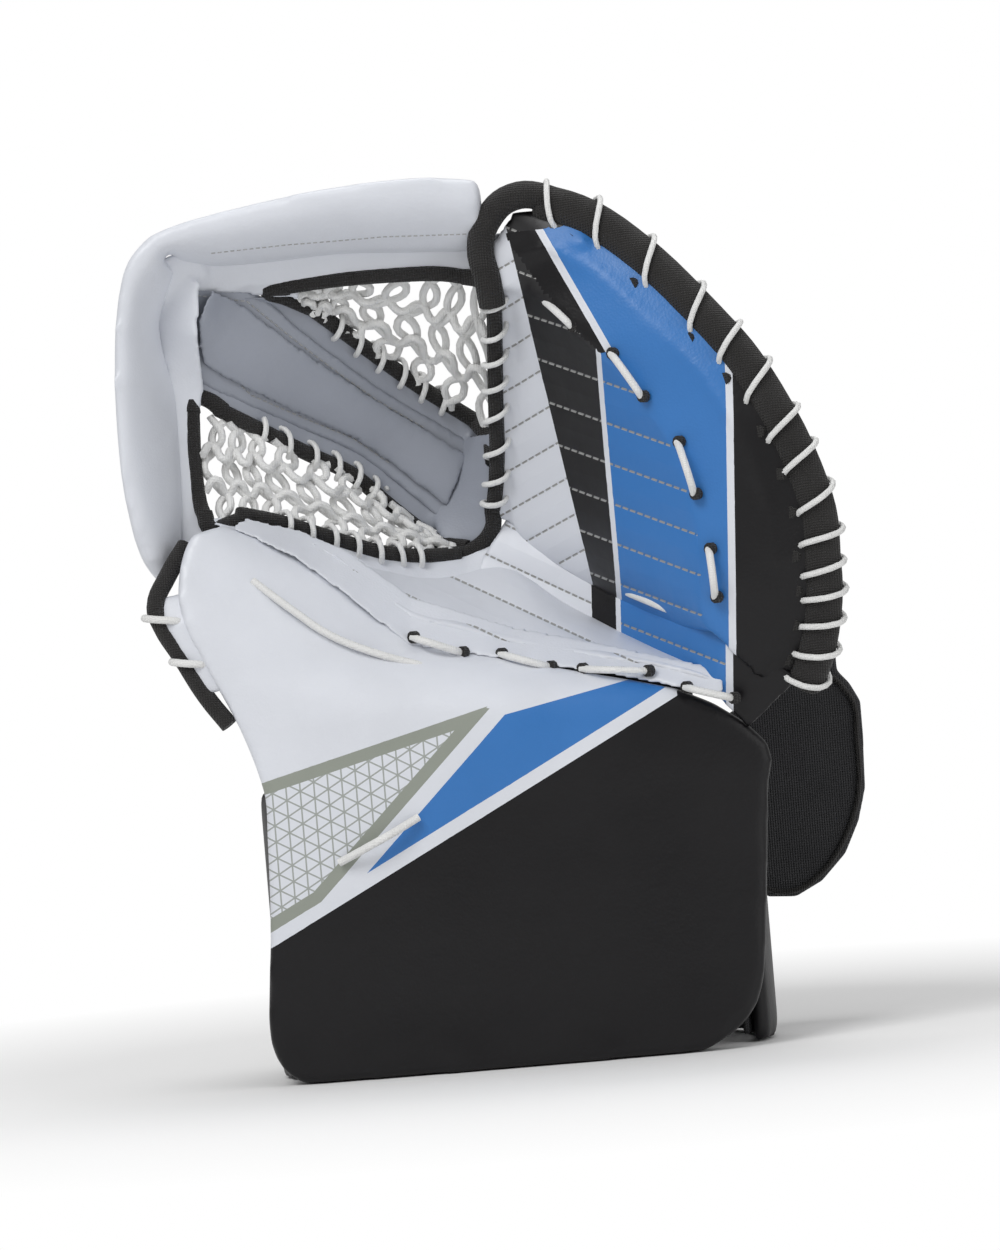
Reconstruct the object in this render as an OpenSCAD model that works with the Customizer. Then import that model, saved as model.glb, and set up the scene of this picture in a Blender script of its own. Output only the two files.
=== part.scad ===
// Ice hockey goalie catch glove, palm forward, standing on the lower edge of its cuff.
// The pieces are drawn where they sit in the finished glove, in mm, with Z up.

/* [Cuff and thumb] */
// height of the cuff from its lower edge to the palm seam
cuff_height = 125; // [110:140]
// thickness of the vinyl skin over the boards
skin = 2.4; // [1.5:0.1:3.5]
// thickness of the foam behind the skin
foam = 9; // [6:0.5:12]
// thickness of the stiff plastic board
board = 2.5; // [1.5:0.1:4]
// thickness of the wall that wraps the back of the wrist
back_wall = 8; // [5:12]

/* [Pocket] */
// radius of the rolled black binding round the lace windows
binding_r = 3.6; // [2.5:0.1:4.5]
// radius of the lace cord
lace_r = 1.5; // [1:0.1:1.6]
// thickness of the padded T bars
tee_thick = 20; // [14:24]
// thickness of the stem of the T
stem_thick = 9; // [6:14]

/* [Finger side] */
// thickness of the finger foam behind the face
finger_foam_thick = 10; // [6:14]
// half thickness of the rolled rim
rim_half = 6; // [4:7]
// half width of the rolled rim, seen from the palm
rim_width_half = 8; // [5:8]

/* [Wrist strap] */
// thickness of the strap flap
strap_thick = 5; // [3:7]

/* [Hidden] */
gap = 0.1;
blue = [0.2, 0.46, 0.72];
white = [0.86, 0.88, 0.91];
black = [0.12, 0.12, 0.13];
cord_white = [0.9, 0.9, 0.88];
grey = [0.5, 0.52, 0.56];
back_dir = [0.6, 0.8, 0];
// the origin: middle of the lower edge of the wrist wall, which the glove stands on
home = [20, 78, 0];

module at_home() {
  translate(-home) children();
}
function unit(v) = v / max(norm(v), 0.000001);
function mix(a, b, t) = a * (1 - t) + b * t;
function pick(p, i) = p[max(0, min(len(p) - 1, i))];
function curve_at(p, s) =
  let(i = min(floor(s), len(p) - 2), t = s - i,
      a = pick(p, i - 1), b = p[i], c = p[i + 1], d = pick(p, i + 2))
  0.5 * (2 * b + (c - a) * t + (2 * a - 5 * b + 4 * c - d) * t * t
         + (3 * b - a - 3 * c + d) * t * t * t);
function smooth(p, n) = [for (i = [0:n]) curve_at(p, i / n * (len(p) - 1))];
function quad(a, b, c, d) = [[a, b, c], [a, c, d]];
function flat(l) = [for (a = l) for (b = a) b];

// A closed solid between a grid of front points and a grid of back points.
module slab(front, back) {
  n = len(front);
  m = len(front[0]);
  k = n * m;
  pts = concat(flat(front), flat(back));
  faces = concat(
    flat([for (i = [0:n - 2]) for (j = [0:m - 2])
      quad(i * m + j, i * m + j + 1, (i + 1) * m + j + 1, (i + 1) * m + j)]),
    flat([for (i = [0:n - 2]) for (j = [0:m - 2])
      quad(k + i * m + j, k + (i + 1) * m + j, k + (i + 1) * m + j + 1, k + i * m + j + 1)]),
    flat([for (i = [0:n - 2]) quad(i * m, (i + 1) * m, k + (i + 1) * m, k + i * m)]),
    flat([for (i = [0:n - 2])
      quad(i * m + m - 1, k + i * m + m - 1, k + (i + 1) * m + m - 1, (i + 1) * m + m - 1)]),
    flat([for (j = [0:m - 2]) quad(j, k + j, k + j + 1, j + 1)]),
    flat([for (j = [0:m - 2])
      quad((n - 1) * m + j, (n - 1) * m + j + 1, k + (n - 1) * m + j + 1, k + (n - 1) * m + j)]));
  polyhedron(points = pts, faces = faces, convexity = 6);
}

// Front grid between two rails, puffed by bulge along up.
function ruled(a, b, n, m, bulge, up) =
  let(p = smooth(a, n), q = smooth(b, n))
  [for (i = [0:n]) [for (j = [0:m]) mix(p[i], q[i], j / m) + up * bulge * 4 * j / m * (1 - j / m)]];
function moved(g, v) = [for (r = g) [for (p = r) p + v]];
module panel(a, b, t, dir, n = 20, m = 5, bulge = 0) {
  g = ruled(a, b, n, m, bulge, -dir);
  slab(moved(g, dir * t), g);
}

// A round or oval tube through the points, its section set by a fixed side direction.
function tangent(p, i) = unit(p[min(i + 1, len(p) - 1)] - p[max(i - 1, 0)]);
module tube(p, refs, a, b, k = 6) {
  n = len(p);
  pts = [for (i = [0:n - 1])
    let(t = tangent(p, i), u = unit(refs[i] - t * (refs[i] * t)), v = cross(t, u))
    for (j = [0:k - 1]) p[i] + a * cos(360 * j / k) * u + b * sin(360 * j / k) * v];
  sides = [for (i = [0:n - 2]) for (j = [0:k - 1])
    [i * k + j, (i + 1) * k + j, (i + 1) * k + (j + 1) % k, i * k + (j + 1) % k]];
  tris = [for (f = sides) each [[f[0], f[1], f[2]], [f[0], f[2], f[3]]]];
  ends = [[for (j = [0:k - 1]) j], [for (j = [k - 1:-1:0]) (n - 1) * k + j]];
  polyhedron(points = pts, faces = concat(tris, ends), convexity = 8);
}
module roll(path, a, b, ref, n = 24, k = 10) {
  p = smooth(path, n);
  tube(p, [for (q = p) ref], a, b, k);
}
module cord(path, ref, n = 10, r = lace_r) {
  p = smooth(path, n);
  tube(p, [for (q = p) ref], r, r, 6);
}

// One whole lace that winds round a rolled edge.
module whip(path, a, b, ref, turns) {
  n = turns * 8;
  c = smooth(path, n);
  p = [for (i = [0:n])
    let(t = tangent(c, i), u = unit(ref - t * (ref * t)), v = cross(t, u))
    c[i] + a * cos(i * 45) * u + b * sin(i * 45) * v];
  tube(p, [for (i = [0:n]) tangent(c, i)], lace_r, lace_r, 6);
}
// A lace seen between two eyelets, standing just off the surface.
module stitch(a, b, out) {
  cord([a + out * 1.8, mix(a, b, 0.25) + out * 2.8, mix(a, b, 0.75) + out * 2.8, b + out * 1.8],
    out, 6);
}

// Thumb and cuff front: matching left and right edge points from the base up.
panel_left = [[-82, -40, 0], [-91, -39, 9], [-94, -38, 25], [-90, -40, 64], [-88, -40, 105],
  [-88, -40, 122], [-95, -38, 146], [-101, -37, 160], [-107, -36, 173], [-112, -35, 184],
  [-116, -34, 195], [-117, -32, 205], [-116, -30, 214], [-114, -26, 222], [-110, -22, 230]];
panel_right = [[85, -42, 0], [101, -40, 9], [111, -38, 25], [116, -36, 64], [120, -34, 105],
  [121, -34, cuff_height], [92, -34, 147], [50, -26, 159], [-6, -15, 174], [-23, -14, 182],
  [-40, -12, 194], [-52, -8, 208], [-70, -6, 220], [-84, -8, 228], [-98, -14, 233]];
module panel_layer(from, t) {
  s = [0, 1, 0];
  panel(moved([panel_left], s * from)[0], moved([panel_right], s * from)[0], t, s, 34, 8, 4);
}

// Rails of the palm leather on the thumb side of the break.
thumb_seam = [[-92, -6, 235.5], [-70, 1, 228], [-50, -1, 216], [-23, -8, 190.5], [0, -10, 182.5],
  [18, -11, 175.5], [36, -14, 170.5], [58, -20, 165.5], [77, -26, 161], [93, -33, 156], [102, -36, 152]];
thumb_deep = [[-84, 5, 231], [-68, 11, 225], [-50, 20, 216], [-30, 30, 209], [-14, 36, 205],
  [2, 42, 206], [20, 46, 210], [38, 36, 194], [56, 22, 182], [74, 4, 171], [92, -18, 162]];

// Rails of the finger side: window edge, quilting edge, rim seam.
finger_deep = [[29, -12, 334], [30, -2, 322], [29, 8, 310], [29, 16, 298], [28, 24, 284],
  [27, 30, 268], [27, 36, 252], [25, 41, 236], [23, 45, 222], [32, 41, 212], [45, 32, 202],
  [59, 21, 192], [75, 5, 182], [90, -16, 174]];
finger_mid = [[32, -13, 337], [38, -14, 323], [48, -24, 311], [60, -31, 297], [72, -35, 283],
  [83, -39, 266], [91, -42, 251], [96, -44, 232], [99, -45, 214], [100, -46, 202], [99, -45, 193],
  [98, -43, 185], [98, -42, 179], [101, -41, 172]];
finger_rim = [[36, -16, 341], [58, -28, 342], [80, -38, 324], [100, -47, 298], [114, -52, 280],
  [125, -56, 259], [132, -57, 240], [138, -57, 220], [139, -56, 200], [139, -54, 188],
  [138, -52, 177], [136, -48, 164], [131, -45, 153], [124, -41, 145]];
rim_path = [[44, -16, 357], [66, -23, 348], [90, -33, 326], [111, -42, 300], [124, -48, 282],
  [136, -52, 258], [143, -53, 240], [149, -52, 218], [149, -51, 200], [149, -49, 186],
  [147, -46, 172], [143, -42, 157], [137, -36, 146]];
window_path = [[24, -4, 319], [23, 8, 304], [22, 17, 290], [21, 25, 275], [20, 33, 256],
  [18, 39, 240], [16, 43, 231]];

function toward_rim(k) = [for (i = [0:13]) mix(finger_mid[i], finger_rim[i], k)];
module finger_layer(from, t, reach) {
  s = back_dir;
  ga = moved(ruled(finger_deep, finger_mid, 26, 4, 0, s), s * from);
  gb = moved(ruled(finger_mid, toward_rim(reach), 26, 3, 0, s), s * from);
  g = [for (i = [0:26]) concat(ga[i], [for (j = [1:3]) gb[i][j]])];
  slab(moved(g, s * t), g);
}

upper_top = [[-62, 7, 330], [-37, 7, 332], [-2, 5, 331], [13, 4, 328]];
upper_low = [[-59, 14, 323], [-47, 26, 314], [-31, 38, 300], [-14, 50, 286], [1, 56, 276],
  [12, 58, 268]];
lower_top = [[-100, 14, 286], [-81, 26, 275], [-61, 40, 263], [-43, 50, 253], [-30, 57, 240],
  [-14, 59, 226]];
lower_low = [[-103, 4, 238], [-78, 12, 236], [-56, 21, 226], [-34, 31, 218], [-15, 39, 215],
  [0, 46, 217]];
stem_up = [[-100, -2, 335], [-77, 10, 331], [-59, 22, 314], [-43, 34, 300], [-26, 46, 286],
  [-7, 56, 273], [10, 60, 261]];
stem_low = [[-110, 0, 318], [-105, 10, 297], [-85, 24, 284], [-64, 38, 273], [-44, 48, 263],
  [-29, 56, 251], [-6, 60, 229]];

// Two layers of cord that cross inside a window.
module net(a, b, n, m) {
  p = smooth(a, n);
  q = smooth(b, n);
  for (i = [1:n - 1]) {
    cord([mix(p[i], q[i], 0.2), mix(p[i], q[i], 0.5), mix(p[i], q[i], 0.8)], [1, 0, 0], 4);
  }
  for (j = [1:m]) {
    v = j / (m + 1);
    cord([for (i = [0:n]) mix(p[i], q[i], v) + [0, 4, 0]], [0, 1, 0], n);
  }
}

module thumb_cuff_skin() {
  color(white) at_home() panel_layer(0, skin);
}
module thumb_cuff_foam() {
  color(grey) at_home() panel_layer(skin + gap, foam);
}
module thumb_cuff_board() {
  color(black) at_home() panel_layer(skin + foam + 2 * gap, board);
}
module thumb_cuff_lining() {
  color(black) at_home() panel_layer(skin + foam + board + 3 * gap, 2);
}
module thumb_palm_leather() {
  color(white) at_home() panel(thumb_seam, thumb_deep, 4, [0, 0.54, -0.84], 26, 5, 0);
}
module thumb_edge_binding() {
  color(black) at_home()
    roll([[-110, -28, 164], [-118, -27, 180], [-125, -26, 193], [-127, -26, 200]],
      5, 3, [0, 1, 0], 10, 8);
}

cuff_ring = [[112, -14], [118, 10], [114, 40], [100, 66], [70, 79], [20, 82], [-40, 80], [-72, 70],
  [-88, 46], [-92, 10], [-88, -14]];
cuff_centre = [12, 25];
function shrink(p, t) = p + unit(cuff_centre - p) * t;
module ring_wall(t0, t1, z0, z1) {
  p = smooth(cuff_ring, 40);
  front = [for (q = p) [for (z = [z0, z1])
    let(w = shrink(q, t0)) [w[0], w[1], z]]];
  back = [for (q = p) [for (z = [z0, z1])
    let(w = shrink(q, t1)) [w[0], w[1], z]]];
  slab(front, back);
}
module cuff_back_shell() {
  color(black) at_home() ring_wall(0, back_wall, 0, cuff_height - 5);
}
module wrist_liner() {
  color(grey) at_home() ring_wall(back_wall + gap, back_wall + 3, 3, cuff_height - 8);
}
module backhand_pad() {
  color(black) at_home()
    panel([[-60, 78, 124], [-62, 80, 150], [-50, 82, 178], [-25, 82, 196]],
      [[92, 72, 124], [96, 74, 150], [84, 78, 178], [45, 82, 196]], 10, [0, 1, 0], 12, 8, 4);
}
module hand_liner() {
  color(grey) at_home() translate([12, 28, 12]) difference() {
    linear_extrude(height = 130) scale([1, 0.6]) circle(r = 70, $fn = 48);
    translate([0, 0, -1]) linear_extrude(height = 126) scale([1, 0.57]) circle(r = 66, $fn = 48);
  }
}
module tee_top_bar() {
  color(white) at_home()
    panel([[-104, -8, 344], [-90, -6, 342], [-68, -5, 342], [-40, -5, 343], [-8, -5, 341], [22, -6, 339]],
      [[-118, -26, 355], [-102, -26, 360], [-73, -27, 365], [-40, -28, 369], [-2, -28, 370],
       [22, -26, 367]], tee_thick, [0, 1, 0], 20, 6, 7);
}
module tee_left_bar() {
  color(white) at_home()
    panel([[-124, -8, 209], [-132, -16, 222], [-136, -24, 245], [-137, -27, 270], [-136, -28, 300],
        [-133, -28, 325], [-128, -27, 343], [-121, -26, 352]],
      [[-117, -2, 214], [-116, 0, 224], [-114, 4, 245], [-113, 8, 268], [-113, 8, 290],
       [-116, 4, 305], [-117, -3, 322], [-108, -9, 341]], tee_thick, [0, 1, 0], 24, 6, 7);
}
module tee_stem() {
  color(grey) at_home() panel(stem_up, stem_low, stem_thick, [0, 1, 0], 20, 5, 0);
}
module tee_stem_pad() {
  a = [for (i = [0:6]) mix(stem_up[i], stem_low[i], 0.16) + [i == 0 ? 8 : 0, -0.2, 0]];
  b = [for (i = [0:6]) mix(stem_up[i], stem_low[i], 0.84) + [i == 0 ? 8 : 0, -0.2, 0]];
  color(grey) at_home() panel([for (p = a) p + [0, -2.4, 0]], [for (p = b) p + [0, -2.4, 0]], 2,
    [0, 1, 0], 18, 4, 2);
}
module window_binding_upper() {
  color(black) at_home() {
    roll([[-66, 8, 331.5], [-37, 7, 333], [-2, 5, 332], [14, 4, 329]], binding_r, binding_r,
      [0, 1, 0], 16, 8);
    roll([[-54, 22, 323], [-45, 28, 315.5], [-29, 40, 302], [-12, 51, 288], [3, 57, 277], [14, 59, 269]],
      binding_r, binding_r, [1, 0, 1], 18, 8);
  }
}
module window_binding_lower() {
  color(black) at_home() {
    roll([[-98, 18, 284], [-81, 27, 274], [-61, 41, 262], [-43, 51, 252], [-30, 58, 239], [-14, 61, 224]],
      binding_r, binding_r, [1, 0, 1], 18, 8);
    roll([[-107, 12, 284], [-108, 12, 262], [-107, 9, 244], [-104, 4, 236]], binding_r, binding_r,
      [0, 1, 0], 12, 8);
    roll([[-92, 6, 238], [-74, 13, 233], [-54, 22, 225], [-33, 32, 217], [-15, 40, 214], [1, 46, 214]],
      binding_r, binding_r, [0, 1, 0], 20, 8);
  }
}
module pocket_lace_upper() {
  color(cord_white) at_home() net([for (p = upper_top) p + [0, 21, -6]], [for (p = upper_low) p + [6, 21, 2]], 8, 3);
}
module pocket_lace_lower() {
  color(cord_white) at_home() net([for (p = lower_top) p + [1, 22, -8]], [for (p = lower_low) p + [2, 22, 5]], 9, 3);
}
module window_lace_upper() {
  wr = binding_r + lace_r + 0.4;
  color(cord_white) at_home()
    whip([[-45, 28, 315.5], [-29, 40, 302], [-12, 51, 288], [3, 57, 277]], wr, wr, [1, 0, 1], 6);
}
module window_lace_lower() {
  wr = binding_r + lace_r + 0.4;
  color(cord_white) at_home() {
    whip([[-81, 27, 274], [-61, 41, 262], [-43, 51, 252], [-32, 57, 241]], wr, wr, [1, 0, 1], 6);
    whip([[-74, 13, 233], [-54, 22, 225], [-33, 32, 217], [-15, 40, 214]], wr, wr, [0, 1, 0], 7);
  }
}
module thumb_lace() {
  color(cord_white) at_home() {
    cord([[-80, -20, 222], [-62, -20, 205], [-40, -26, 190], [-18, -30, 178], [-2, -30, 172]],
      [0, 1, 0], 14);
    cord([[-6, -27, 182], [4, -27, 178], [14, -27, 176]], [0, 1, 0], 6);
  }
}
module cuff_lace() {
  color(cord_white) at_home() cord([[-60, -46.5, 90], [-48, -47, 95], [-35, -47, 101], [-25, -47, 106]],
    [0, 1, 0], 8);
}
module strap_anchor() {
  color(black) at_home() translate([76, 83, 62]) cube([22, 3, 70]);
}
module strap_loop_patch() {
  color(black) at_home() translate([-30, 83, 62]) cube([70, 2, 52]);
}
module finger_face_skin() {
  color(blue) at_home() panel(finger_mid, toward_rim(0.76), 3, back_dir, 26, 4, 0);
}
module finger_palm_leather() {
  a = [for (i = [0:13]) mix(finger_deep[i], finger_mid[i], 0.01)];
  b = [for (i = [0:13]) mix(finger_deep[i], finger_mid[i], 0.99)];
  color(white) at_home() panel(a, b, 3, back_dir, 26, 6, 0);
}
module finger_foam() {
  color(grey) at_home() finger_layer(3 + gap, finger_foam_thick, 0.5);
}
module finger_board() {
  color(black) at_home() finger_layer(3 + finger_foam_thick + 2 * gap, 2, 0.3);
}
module finger_back_panel() {
  color(black) at_home() finger_layer(5 + finger_foam_thick + 3 * gap, 6, 0.3);
}
module finger_rim_binding() {
  color(black) at_home() roll(rim_path, rim_half, rim_width_half, [0, 1, 0], 30, 12);
}
module finger_rim_lace() {
  color(cord_white) at_home() whip(rim_path, rim_half + lace_r + 0.5,
    rim_width_half + lace_r + 0.5, [0, 1, 0], 15);
}
module finger_window_binding() {
  color(black) at_home() roll(window_path, binding_r, binding_r, [1, 0, 0], 18, 8);
}
module finger_window_lace() {
  wr = binding_r + lace_r + 0.4;
  color(cord_white) at_home() whip(window_path, wr, wr, [1, 0, 0], 8);
}
module finger_tie_lace() {
  out = [-0.6, -0.8, 0];
  color(cord_white) at_home() {
    stitch([61, -31, 296], [76, -37, 277], out);
    stitch([90, -42, 255], [96, -45, 233], out);
    stitch([100, -46, 210], [101, -46, 191], out);
    stitch([36, -6, 310], [48, -22, 306], out);
  }
}
module wrist_strap() {
  color(black) at_home() translate([0, 90.5, 0]) rotate([90, 0, 0]) linear_extrude(height = strap_thick)
    polygon([[109, 64], [122, 54], [134, 53], [146, 59], [157, 70], [164, 84], [168, 98], [169, 121],
      [169, 136], [165, 144], [160, 150], [160, 176], [154, 176], [140, 150], [109, 134]]);
}
module strap_hook_patch() {
  color(grey) at_home() translate([120, 90.6, 72]) cube([34, 1.6, 56]);
}

thumb_cuff_skin();
thumb_cuff_foam();
thumb_cuff_board();
thumb_cuff_lining();
thumb_palm_leather();
thumb_edge_binding();
cuff_back_shell();
wrist_liner();
backhand_pad();
hand_liner();
tee_top_bar();
tee_left_bar();
tee_stem();
tee_stem_pad();
window_binding_upper();
window_binding_lower();
pocket_lace_upper();
pocket_lace_lower();
window_lace_upper();
window_lace_lower();
thumb_lace();
cuff_lace();
strap_anchor();
strap_loop_patch();
finger_face_skin();
finger_palm_leather();
finger_foam();
finger_board();
finger_back_panel();
finger_rim_binding();
finger_rim_lace();
finger_window_binding();
finger_window_lace();
finger_tie_lace();
wrist_strap();
strap_hook_patch();
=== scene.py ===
"""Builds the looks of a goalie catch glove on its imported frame."""
import math

import bmesh
import bpy
from mathutils import Matrix, Vector


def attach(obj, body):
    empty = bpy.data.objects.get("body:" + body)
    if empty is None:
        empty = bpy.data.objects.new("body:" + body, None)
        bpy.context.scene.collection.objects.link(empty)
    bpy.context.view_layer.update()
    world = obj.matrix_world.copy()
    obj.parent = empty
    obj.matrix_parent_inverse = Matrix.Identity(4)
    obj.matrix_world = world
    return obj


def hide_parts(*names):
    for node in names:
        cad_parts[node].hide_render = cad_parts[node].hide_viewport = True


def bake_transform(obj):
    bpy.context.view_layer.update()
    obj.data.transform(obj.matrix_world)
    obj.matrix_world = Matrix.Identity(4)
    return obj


bl_info = {
    "name": "Goalie Catch Glove",
    "version": (1, 0, 0),
    "blender": (4, 5, 0),
    "location": "3D View > Sidebar > Catch Glove",
    "description": "Padded panels, quilting, lacing and finishes of a goalie catch glove",
    "category": "Object",
}

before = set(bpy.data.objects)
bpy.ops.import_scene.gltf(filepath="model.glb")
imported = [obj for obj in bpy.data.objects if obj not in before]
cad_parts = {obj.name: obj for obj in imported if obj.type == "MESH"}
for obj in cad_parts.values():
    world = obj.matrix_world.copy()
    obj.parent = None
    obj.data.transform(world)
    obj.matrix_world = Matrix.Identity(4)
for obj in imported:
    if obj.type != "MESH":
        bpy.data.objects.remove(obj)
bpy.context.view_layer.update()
HOME = Vector((20.0, 78.0, 0.0))
THUMB_LAYERS = ["thumb_cuff_skin", "thumb_cuff_foam", "thumb_cuff_board", "thumb_cuff_lining"]
FINGER_LAYERS = ["finger_face_skin", "finger_palm_leather", "finger_foam", "finger_board",
                 "finger_back_panel"]
# the way that the back of the finger side faces
FINGER_BACK = (0.6, 0.8, 0)
MERGE_DISTANCE = 0.000005
SMOOTH_FACTOR = 0.6
# the camera's turn in degrees, its place in the glove's millimetres and its lens in millimetres
CAMERA_ROLL = 4.8
CAMERA_PLACE = (15, -2200, 182)
CAMERA_LENS = 100.57
LACE_RADIUS = 0.0016
CUFF_LACE_RADIUS = 0.0017


def at(x, y, z):
    """A point of the glove in millimetres, as metres from the frame's origin."""
    return (Vector((x, y, z)) - HOME) / 1000


class GloveColours(bpy.types.PropertyGroup):
    """Colours of the glove's materials."""
    white: bpy.props.FloatVectorProperty(
        name="White vinyl", description="Colour of the thumb and T", subtype="COLOR", size=3,
        default=(0.68, 0.70, 0.75))
    # painted shade: the stem's grey is the white vinyl darkened to stand in for the shade on it
    grey: bpy.props.FloatVectorProperty(
        name="White vinyl with painted shade", description="Colour of the stem", subtype="COLOR", size=3,
        default=(0.30, 0.32, 0.37))
    blue: bpy.props.FloatVectorProperty(
        name="Blue vinyl", description="Colour of the finger face", subtype="COLOR", size=3,
        default=(0.026, 0.165, 0.47))
    black: bpy.props.FloatVectorProperty(
        name="Black vinyl", description="Colour of the cuff and back", subtype="COLOR", size=3,
        default=(0.005, 0.0045, 0.0055))
    patch: bpy.props.FloatVectorProperty(
        name="Patch border", description="Colour of the patch on the thumb", subtype="COLOR",
        size=3, default=(0.27, 0.29, 0.25))


class GloveSizes(bpy.types.PropertyGroup):
    """Sizes that shape the soft pieces."""
    voxel: bpy.props.FloatProperty(
        name="Padding detail", description="Grid of the padded pieces", unit="LENGTH",
        default=0.0018, min=0.001, max=0.005)
    pocket_cord: bpy.props.FloatProperty(
        name="Pocket cord radius", description="Radius of the pocket lace", unit="LENGTH",
        default=0.0017, min=0.001, max=0.0025)


def colours():
    """The colours set in the panel."""
    return bpy.context.scene.glove_colours


def sizes():
    """The sizes set in the panel."""
    return bpy.context.scene.glove_sizes


# ---- materials ----

def shader_base(name, colour, roughness, coat=0.0, sheen=0.0):
    mat = bpy.data.materials.new(name)
    mat.use_nodes = True
    tree = mat.node_tree
    bsdf = tree.nodes["Principled BSDF"]
    bsdf.inputs["Base Color"].default_value = (*colour, 1)
    bsdf.inputs["Roughness"].default_value = roughness
    bsdf.inputs["Coat Weight"].default_value = coat
    bsdf.inputs["Coat Roughness"].default_value = 0.35
    bsdf.inputs["Sheen Weight"].default_value = sheen
    return mat, tree, bsdf


def math_node(tree, operation, a, b=0.0):
    node = tree.nodes.new("ShaderNodeMath")
    node.operation = operation
    for socket, value in zip(node.inputs, (a, b)):
        if isinstance(value, (int, float)):
            socket.default_value = value
        else:
            tree.links.new(value, socket)
    return node.outputs[0]


def object_coords(tree):
    return tree.nodes.new("ShaderNodeTexCoord").outputs["Object"]


def noise(tree, scale, detail=3.0):
    node = tree.nodes.new("ShaderNodeTexNoise")
    node.inputs["Scale"].default_value = scale
    node.inputs["Detail"].default_value = detail
    tree.links.new(object_coords(tree), node.inputs["Vector"])
    return node.outputs["Fac"]


def along(tree, direction):
    """Distance of a surface point along a direction, in metres."""
    node = tree.nodes.new("ShaderNodeVectorMath")
    node.operation = "DOT_PRODUCT"
    tree.links.new(object_coords(tree), node.inputs[0])
    node.inputs[1].default_value = direction
    return node.outputs["Value"]


def bump(tree, bsdf, height, distance, strength=1.0):
    node = tree.nodes.new("ShaderNodeBump")
    node.inputs["Distance"].default_value = distance
    node.inputs["Strength"].default_value = strength
    tree.links.new(height, node.inputs["Height"])
    tree.links.new(node.outputs["Normal"], bsdf.inputs["Normal"])


def tint(tree, bsdf, factor, low, high):
    ramp = tree.nodes.new("ShaderNodeMix")
    ramp.data_type = "RGBA"
    tree.links.new(factor, ramp.inputs["Factor"])
    ramp.inputs["A"].default_value = (*low, 1)
    ramp.inputs["B"].default_value = (*high, 1)
    tree.links.new(ramp.outputs["Result"], bsdf.inputs["Base Color"])


def roughness_range(tree, bsdf, factor, low, high):
    node = tree.nodes.new("ShaderNodeMapRange")
    tree.links.new(factor, node.inputs["Value"])
    node.inputs["From Min"].default_value = 0.3
    node.inputs["From Max"].default_value = 0.7
    node.inputs["To Min"].default_value = low
    node.inputs["To Max"].default_value = high
    tree.links.new(node.outputs["Result"], bsdf.inputs["Roughness"])


def shade(colour, k):
    return tuple(min(1.0, c * k) for c in colour)


def vinyl(name, colour, low=0.34, high=0.5, grain=900.0, coat=0.12, specular=0.5):
    """Smooth coated leather with a fine grain and slow creases."""
    mat, tree, bsdf = shader_base(name, colour, 0.4, coat=coat)
    slow = noise(tree, 26.0, 4.0)
    cells = tree.nodes.new("ShaderNodeTexVoronoi")
    cells.inputs["Scale"].default_value = grain
    tree.links.new(object_coords(tree), cells.inputs["Vector"])
    tint(tree, bsdf, slow, shade(colour, 0.9), shade(colour, 1.08))
    roughness_range(tree, bsdf, slow, low, high)
    height = math_node(tree, "ADD", math_node(tree, "MULTIPLY", cells.outputs["Distance"], 0.12),
                       math_node(tree, "MULTIPLY", slow, 1.6))
    bump(tree, bsdf, height, 0.0009, 0.55)
    bsdf.inputs["Specular IOR Level"].default_value = specular
    return mat


def quilted(name, colour, direction, pitch):
    """Vinyl sewn down in channels, with thread along every seam."""
    mat, tree, bsdf = shader_base(name, colour, 0.4, coat=0.1)
    s = math_node(tree, "DIVIDE", along(tree, direction), pitch)
    wave = math_node(tree, "PINGPONG", s, 0.5)
    puff = math_node(tree, "POWER", math_node(tree, "MULTIPLY", wave, 2.0), 0.4)
    slow = noise(tree, 60.0, 3.0)
    side = (direction[2], 0.0, -direction[0])
    dash = math_node(tree, "PINGPONG", math_node(tree, "DIVIDE", along(tree, side), 0.0032), 0.5)
    seam = math_node(tree, "LESS_THAN", wave, 0.03)
    thread = math_node(tree, "MULTIPLY", seam, math_node(tree, "GREATER_THAN", dash, 0.14))
    tint(tree, bsdf, thread, colour, (0.33, 0.33, 0.32))
    roughness_range(tree, bsdf, slow, 0.34, 0.5)
    height = math_node(tree, "ADD", puff, math_node(tree, "MULTIPLY", slow, 0.35))
    bump(tree, bsdf, height, 0.0016, 0.8)
    return mat


def lattice(name, ground, line):
    """Printed triangular lattice on white vinyl."""
    mat, tree, bsdf = shader_base(name, ground, 0.4, coat=0.1)
    total = None
    for degrees in (0.0, 60.0, 120.0):
        a = math.radians(degrees)
        s = math_node(tree, "DIVIDE", along(tree, (math.cos(a), 0.0, math.sin(a))), 0.0058)
        near = math_node(tree, "LESS_THAN", math_node(tree, "PINGPONG", s, 0.5), 0.055)
        total = near if total is None else math_node(tree, "MAXIMUM", total, near)
    tint(tree, bsdf, total, ground, line)
    bump(tree, bsdf, noise(tree, 500.0), 0.0003, 0.3)
    return mat


def webbing(name, colour):
    """Woven nylon tape."""
    mat, tree, bsdf = shader_base(name, colour, 0.75, sheen=0.08)
    u = math_node(tree, "SINE", math_node(tree, "MULTIPLY", along(tree, (0.7, 0.2, 0.7)), 4200.0))
    v = math_node(tree, "SINE", math_node(tree, "MULTIPLY", along(tree, (-0.7, 0.2, 0.7)), 4200.0))
    weave = math_node(tree, "MULTIPLY", u, v)
    tint(tree, bsdf, math_node(tree, "MULTIPLY_ADD", weave, 0.5), shade(colour, 0.6), shade(colour, 2.0))
    roughness_range(tree, bsdf, noise(tree, 80.0), 0.65, 0.85)
    bump(tree, bsdf, weave, 0.0005, 0.7)
    return mat


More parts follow.
